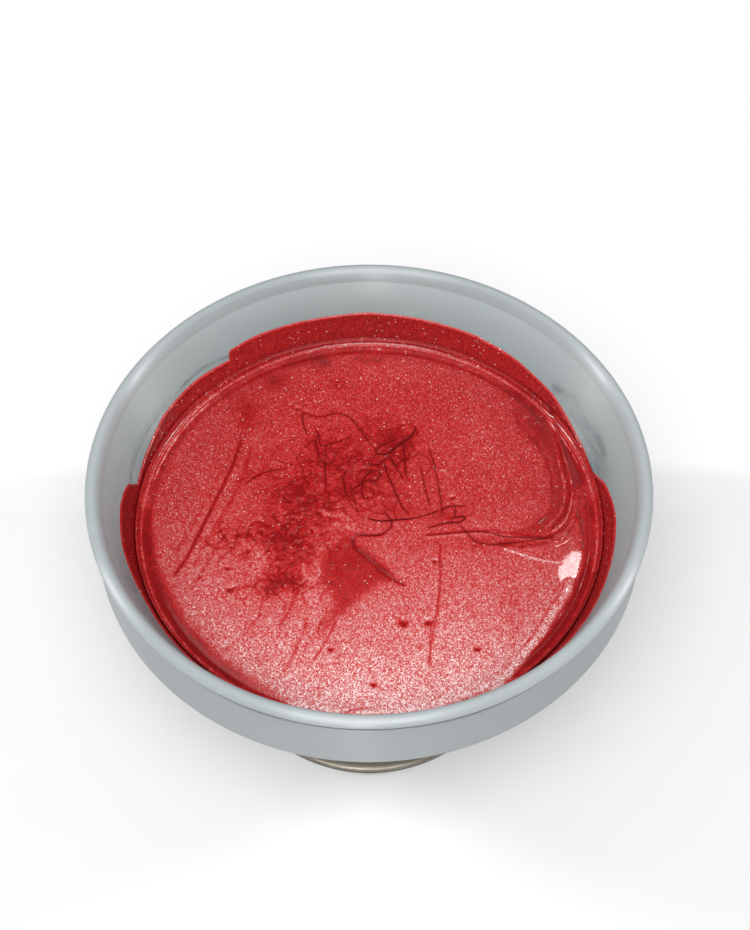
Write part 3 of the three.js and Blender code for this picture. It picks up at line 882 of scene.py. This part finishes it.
def patch(x, y, centre_x, centre_y, along, across, turn):
    """Falls from 1 at an ellipse's centre to a third at its edge."""
    c, s = math.cos(math.radians(turn)), math.sin(math.radians(turn))
    u = (x - centre_x) * c + (y - centre_y) * s
    v = (y - centre_y) * c - (x - centre_x) * s
    return np.exp(-((u / along) ** 2 + (v / across) ** 2))


def area(x, y, corners, soft):
    """About 1 inside an outline and 0 outside it, with a soft edge."""
    inside = np.zeros(x.shape, bool)
    nearest = np.full(x.shape, np.inf)
    for (ax, ay), (bx, by) in zip(corners, corners[1:] + corners[:1]):
        crosses = (ay > y) != (by > y)
        at = ax + (y - ay) * (bx - ax) / (by - ay if by != ay else 1)
        inside ^= crosses & (x < at)
        share = ((x - ax) * (bx - ax) + (y - ay) * (by - ay)) / ((bx - ax) ** 2 + (by - ay) ** 2)
        share = np.clip(share, 0, 1)
        nearest = np.minimum(nearest, np.hypot(x - ax - share * (bx - ax), y - ay - share * (by - ay)))
    return 1 / (1 + np.exp(-3 * np.where(inside, nearest, -nearest) / soft))


def veins(x, y, size, seed, width):
    return np.exp(-(smooth_noise(x, y, size, seed) / width) ** 2)


def broken_skin(x, y):
    """How dark the webs of half-dry skin are, before their edges are made ragged."""
    web = np.zeros_like(x)
    for px, py, along, across, turn, strength in WEBS:
        web = np.maximum(web, strength * patch(x, y, px, py, along, across, turn))
    lines = np.maximum(veins(x, y, 4.4, 2.2, 0.05), veins(x, y, 2.4, 6.1, 0.07))
    lines = np.maximum(lines, veins(x, y, 1.5, 4.4, 0.1))
    return web * (0.22 + 0.8 * lines)


def dark_marks(x, y, ragged):
    """How much each mark in the paint darkens it."""
    dark = np.zeros_like(x)
    for px, py, along, across, turn, strength in DARK_PATCHES:
        dark += strength * patch(x, y, px, py, along, across, turn) * np.clip(ragged, 0, 1.6)
    for strength, soft, corners in DARK_AREAS:
        dark += strength * area(x, y, corners, soft) * (0.7 + 0.3 * ragged)
    dark += broken_skin(x, y) * np.clip(ragged, 0.3, 1.6)
    for width, points in THREADS:
        dark += 0.65 * along_line(x, y, points, width)
    # Painted shade: grooves, which are sunk, are made darker.
    for rise, width, points in FOLDS:
        if rise < 0:
            dark += 0.6 * along_line(x, y, points, 0.6 * width, 5)
    for _, points in STRANDS:
        dark += 0.4 * along_line(x, y, points, 0.5, 5)
    for width, strength, points in DARK_LINES:
        dark += strength * along_line(x, y, points, width) * np.clip(ragged, 0.4, 1.6)
    for px, py, radius, _ in PITS:
        dark += 1.1 * spot(x, y, px, py, radius)
    return dark


def paint_tone(x, y):
    """How dark and how pale the paint is at points in plan: dark from want of flake and from painted shade,
    pale from more flake and from painted light.
    """
    ragged = 1 + 0.8 * smooth_noise(x, y, 2.6, 5.5) + 0.5 * smooth_noise(x, y, 1.1, 8.5)
    dark = dark_marks(x, y, ragged)
    # Painted sheen: the paint is made paler towards the viewer, where the lamps' reflection lies. Two paler
    # patches, at the left and at the back right, are added to it.
    near_side = 1.05 * np.clip((9 - y) / 64, 0, 1) ** 0.95 + 0.24 * patch(x, y, -46, 4, 14, 28, 0)
    near_side += 0.14 * patch(x, y, 34, 24, 15, 22, 0)
    along_flow = smooth_noise(0.32 * x - 0.114 * y, 0.95 * x + 0.32 * y, 3.0, 9.2)
    pale = near_side * (0.93 + 0.07 * np.clip(x / 30, -1, 1))
    pale += 0.05 * smooth_noise(x, y, 11, 3.3) + 0.05 * along_flow
    for width, strength, points in PALE_STREAKS:
        streak = along_line(x, y, points, width, 2, 6)
        pale += strength * streak
        dark *= 1 - min(0.8, 6 * strength) * streak
    to_wall = bowl_radius(PAINT_LEVEL) - np.hypot(x, y)
    # Painted shade: the paint is made darker where it climbs the wall and in a band just in from the wall.
    climbs = 1 / (1 + np.exp((to_wall - 0.6) / 0.12))
    shore = 0.45 * np.exp(-((to_wall - 2.6) / 1.3) ** 2) * np.clip(ragged, 0.6, 1.2)
    dark += 0.25 * climbs + shore * np.clip((y + 52) / 12, 0, 1)
    pale = pale * (1 - 0.7 * np.clip(dark, 0, 1))
    # Painted highlights: a bright ring where the paint meets the wall, and a bright dot at the back of it.
    pale += 0.7 * np.exp(-((to_wall - 1.0) / 0.3) ** 2) + 1.6 * patch(x, y, 3.1, 60.8, 0.6, 0.45, 0)
    return dark, pale


def paint_shape(x, y):
    """Height of the paint over its level at points in plan."""
    r = np.hypot(x, y)
    height = 0.06 * smooth_noise(x, y, 22, 1.3) + 0.03 * smooth_noise(x, y, 9, 4.1)
    lumps = np.maximum(patch(x, y, -17, 2, 18, 20, 0), patch(x, y, 0, 20, 16, 13, 0))
    height += lumps * (0.16 * smooth_noise(x, y, 4.2, 7.7) + 0.11 * smooth_noise(x, y, 1.9, 2.9))
    height += 0.05 * lumps * smooth_noise(x, y, 0.9, 5.2)
    for rise, width, points in FOLDS:
        height += 0.4 * rise * along_line(x, y, points, width, 4)
    for px, py, radius, depth in PITS:
        height -= depth * spot(x, y, px, py, radius)
    width, rise, points = RIDGE
    height += rise * along_line(x, y, points, width, 4, 4)
    height *= 1 - spot(x, y, *WINDOW_SPOT, 6)
    height -= 0.12 * np.exp(-((r - 60.2) / 0.8) ** 2)
    return height + CLIMB * np.exp(-(bowl_radius(PAINT_LEVEL) - r) / 0.5)


def slope_towards_viewer(z, radii, angles):
    """How much the paint rises with +Y; flakes on such a slope catch more light."""
    along_r = np.gradient(z, radii, axis=0)
    along_turn = (np.roll(z, -1, 1) - np.roll(z, 1, 1)) / (2 * (angles[1] - angles[0]))
    return along_r * np.sin(angles) + along_turn * np.cos(angles) / radii[:, None]


def paint_pool():
    around, wall_steps, bottom_steps = FINE_AROUND, 22, 24
    edge_r = float(bowl_radius(PAINT_LEVEL + CLIMB)) - 0.05
    fine_from = edge_r - 3
    by_wall = np.linspace(fine_from, edge_r, wall_steps)
    radii = np.concatenate([[0.15], np.arange(0.5, fine_from, 0.3), by_wall])
    angles = np.linspace(0, 2 * np.pi, around, endpoint=False)
    turn = np.stack([np.cos(angles), np.sin(angles)], -1)
    x, y = radii[:, None] * turn[:, 0], radii[:, None] * turn[:, 1]
    z = PAINT_LEVEL + paint_shape(x, y)
    dark, pale = paint_tone(x, y)
    # Painted light and shade: where the paint rises away from the viewer it is made paler, where it falls it
    # is made darker.
    facing = slope_towards_viewer(z, radii, angles) * (bowl_radius(PAINT_LEVEL) - radii > 1.6)[:, None]
    pale = np.clip(pale + 2.4 * np.clip(facing - 0.02, 0, 0.3), 0, 1.2)
    dark = np.clip(dark + 2.4 * np.clip(-facing - 0.02, 0, 0.3), 0, 1.2)
    surface = np.stack([x, y, z], -1).reshape(-1, 3)
    below = [np.column_stack([(bowl_radius(height) - 0.3) * turn, np.full(around, height)])
             for height in np.linspace(PAINT_LEVEL, PAINT_FLOOR + 0.2, bottom_steps)]
    vertices = np.concatenate([[(0, 0, z[0].mean())], surface, *below, [(0, 0, PAINT_FLOOR)]])
    rings = len(radii) + bottom_steps
    last, end = 1 + (rings - 1) * around, len(vertices) - 1
    faces = [[0, 1 + i, 1 + (i + 1) % around] for i in range(around)]
    faces += ring_faces(rings, around, first=1)
    faces += [[last + i, end, last + (i + 1) % around] for i in range(around)]
    pool = make_object("paint_surface", vertices, faces, PAINT, "paint_pool")
    unseen = np.zeros(len(vertices) - 1 - dark.size)
    set_attribute(pool, "dark", np.concatenate([[dark[0, 0]], dark.ravel(), unseen]))
    set_attribute(pool, "pale", np.concatenate([[0], pale.ravel(), unseen]))


def strand_mesh(thickness, points, sides=8):
    """Vertices and faces of a fibre half sunk in the paint, thin at its ends."""
    path = curve_through(points, 0.35)
    height = paint_shape(path[:, 0], path[:, 1])
    along = np.gradient(path, axis=0)
    along /= np.linalg.norm(along, axis=1)[:, None]
    across = np.stack([-along[:, 1], along[:, 0]], 1)
    share = np.linspace(0, 1, len(path))
    swell = np.array([noise.noise(Vector((*p * 0.5, thickness * 50))) for p in path])
    radius = 0.7 * thickness * (0.35 + 0.65 * np.sin(np.pi * share) ** 0.35) * (1 + 0.45 * swell)
    turn = np.linspace(0, 2 * np.pi, sides, endpoint=False)
    vertices = []
    for p, h, side, r in zip(path, height, across, radius):
        for t in turn:
            x, y = p + side * r * math.cos(t)
            vertices.append((x, y, PAINT_LEVEL + h + 0.25 * thickness + r * 0.8 * math.sin(t)))
    faces = [face[::-1] for face in ring_faces(len(path), sides)]
    final = len(vertices) - sides
    faces += [list(range(sides - 1, -1, -1)), list(range(final, final + sides))]
    return vertices, faces


def strands():
    vertices, faces = [], []
    for thickness, points in STRANDS:
        start = len(vertices)
        more_vertices, more_faces = strand_mesh(thickness, points)
        vertices += more_vertices
        faces += [[start + corner for corner in face] for face in more_faces]
    make_object("paint_strands", vertices, faces, STRAND)


# Upper edge of the wet film: (degrees round from +X, height over the paint's level)
FILM_EDGE = [(0, 6.6), (8, 4.6), (11.5, 2.6), (14, 1.4), (17, 1.6), (24, 2.4), (31, 3.6), (37, 5.1),
             (44, 5.8), (52, 7), (64, 7.9), (82, 8.5), (90, 8.9), (100, 8.5), (119, 8.7), (126.5, 8.1),
             (127.3, 5.6), (135, 6.2), (140, 6.4), (151, 5.9), (157, 4.7), (170.5, 3.0), (173, 6.6),
             (176, 7.7), (180, 8.5), (192, 8.4), (207, 4.6), (222, 4.4), (270, 7.0), (310, 8.0),
             (320, 10.0), (331, 8.9), (340, 7.9), (350, 7.5), (357, 7.2)]


def noise_round(turn, rate, third):
    """Smooth noise that joins up after a full turn."""
    return np.array([noise.noise(Vector((math.cos(a) * rate, math.sin(a) * rate, c)))
                     for a, c in zip(turn, third)])


def film_top(degrees):
    angles, heights = zip(*FILM_EDGE)
    edge = np.interp(degrees, [*angles, 360.0], [*heights, heights[0]])
    return edge + 0.1 * noise_round(np.radians(degrees), 22, np.full(len(degrees), 3.0))


def wet_film():
    around, rows, back_step = 1440, 26, 5
    thickness, bottom, in_wall = 0.16, -0.6, 0.06
    degrees = np.linspace(0, 360, around, endpoint=False)
    turn = np.radians(degrees)
    rise = film_top(degrees) - bottom
    share = np.linspace(0, 1, rows)
    rings = []
    for s in share:
        height, to_edge = bottom + rise * s, rise * (1 - s)
        bead = 0.3 * np.exp(-((to_edge - 0.45) / 0.35) ** 2)
        roll = np.sqrt(np.clip(to_edge / 0.35, 0, 1))
        ripple = 0.05 * noise_round(turn, 9, height * 0.35)
        inwards = (thickness + bead + ripple) * roll - 0.03
        rings.append((bowl_radius(PAINT_LEVEL + height) - inwards, PAINT_LEVEL + height))
    for s in share[::-back_step]:
        z = PAINT_LEVEL + bottom + rise * s
        rings.append((bowl_radius(z) + in_wall, z))
    vertices = np.concatenate([np.stack([r * np.cos(turn), r * np.sin(turn), z], -1) for r, z in rings])
    faces = ring_faces(len(rings), around, closed=True)
    film = make_object("wet_film", vertices, faces, WET_PAINT, "paint_film")
    height_share = np.repeat([*share, *np.zeros(len(rings) - rows)], around)
    angles = np.tile(degrees, len(rings))
    left, back = around_distance(angles, 185), around_distance(angles, 90)
    # Painted light: the film is made paler at its top edge, a painted highlight on the bead, and at the back.
    # It is also made darker low down over the back half and on the left.
    dark = 0.8 * np.clip(0.5 - height_share, 0, 1) * (back < 100) + 0.6 * np.clip(1.6 - left / 30, 0, 1)
    pale = 0.8 * np.clip((height_share - 0.85) / 0.15, 0, 1) + 0.25 * np.clip(2 - back / 40, 0, 1)
    set_attribute(film, "dark", dark)
    set_attribute(film, "pale", pale)


paint_pool()
strands()
wet_film()


# ---- floor, lights, camera

def stage_floor():
    half = 3.0
    corners = [(-half, -half, 0), (half, -half, 0), (half, half, 0), (-half, half, 0)]
    mesh = bpy.data.meshes.new("floor")
    mesh.from_pydata(corners, [], [[0, 1, 2, 3]])
    mesh.materials.append(floor_white())
    add_to_scene("floor", mesh)


def aim(obj, target):
    direction = Vector(target) - obj.location
    obj.rotation_euler = direction.to_track_quat("-Z", "Y").to_euler()


def area_light(name, place, target, width, height, power, spread=180):
    """A rectangular light; metres, watts and degrees."""
    data = bpy.data.lights.new(name, "AREA")
    data.shape = "RECTANGLE"
    data.size = width
    data.size_y = height
    data.energy = power
    data.spread = math.radians(spread)
    light = add_to_scene(name, data)
    light.location = place
    aim(light, target)


def world_light(strength):
    world = bpy.data.worlds.new("studio")
    world.use_nodes = True
    background = world.node_tree.nodes["Background"]
    background.inputs["Color"].default_value = (1.0, 1.0, 1.0, 1)
    background.inputs["Strength"].default_value = strength
    bpy.context.scene.world = world


RIM_CENTRE = Vector((0, 0, RIM_TOP * MM))
CAMERA_DISTANCE = 0.5281
CAMERA_ELEVATION = math.radians(54.02)
TO_CAMERA = Vector((0, -math.cos(CAMERA_ELEVATION), math.sin(CAMERA_ELEVATION)))
CAMERA_PLACE = RIM_CENTRE + CAMERA_DISTANCE * TO_CAMERA
# The point over the rim that the camera looks straight at
CAMERA_AIM = RIM_CENTRE + Vector((0.0016, 0.003, 0))
LONG_SIDE_PX, FOCAL_PX, SENSOR_MM = 930, 2000, 36.0


def make_camera():
    data = bpy.data.cameras.new("camera")
    data.sensor_width = SENSOR_MM
    data.lens = SENSOR_MM * FOCAL_PX / LONG_SIDE_PX
    data.clip_start = 0.01
    camera = add_to_scene("camera", data)
    camera.location = CAMERA_PLACE
    aim(camera, CAMERA_AIM)
    bpy.context.scene.camera = camera


def mirrored_place(shows_at, distance):
    """Where a light stands for the camera to see it reflected at a place on the level paint."""
    seen = (shows_at - CAMERA_PLACE).normalized()
    return shows_at + distance * Vector((seen.x, seen.y, -seen.z))


def studio_lights():
    world_light(0.12)
    area_light("front_softbox", (-0.05, -0.73, 1.31), (0, 0, 0.05), 0.9, 0.9, 20.5)
    area_light("top_softbox", (-0.04, 0.11, 0.7), (-0.04, 0.11, 0.0), 0.42, 0.42, 0.6)
    area_light("left_strip", (-1.0, 0.15, 0.75), (0, 0, 0.08), 0.04, 0.5, 6.5)
    area_light("right_strip", (1.0, 0.15, 0.75), (0, 0, 0.08), 0.04, 0.5, 5.5)
    area_light("low_lamp", (-0.06, -1.2, 0.14), (0, -0.07, 0.08), 0.04, 0.05, 2.0)
    shows_at = Vector((*WINDOW_SPOT, PAINT_LEVEL)) * MM
    area_light("window", mirrored_place(shows_at, 0.9), shows_at, 0.0125, 0.025, 0.065)
    area_light("backdrop", (0, 0.6, 0.8), (0, 0.6, 0), 0.6, 0.3, 0.7, 60)


bpy.context.scene.view_settings.view_transform = "Standard"
make_camera()
stage_floor()
studio_lights()
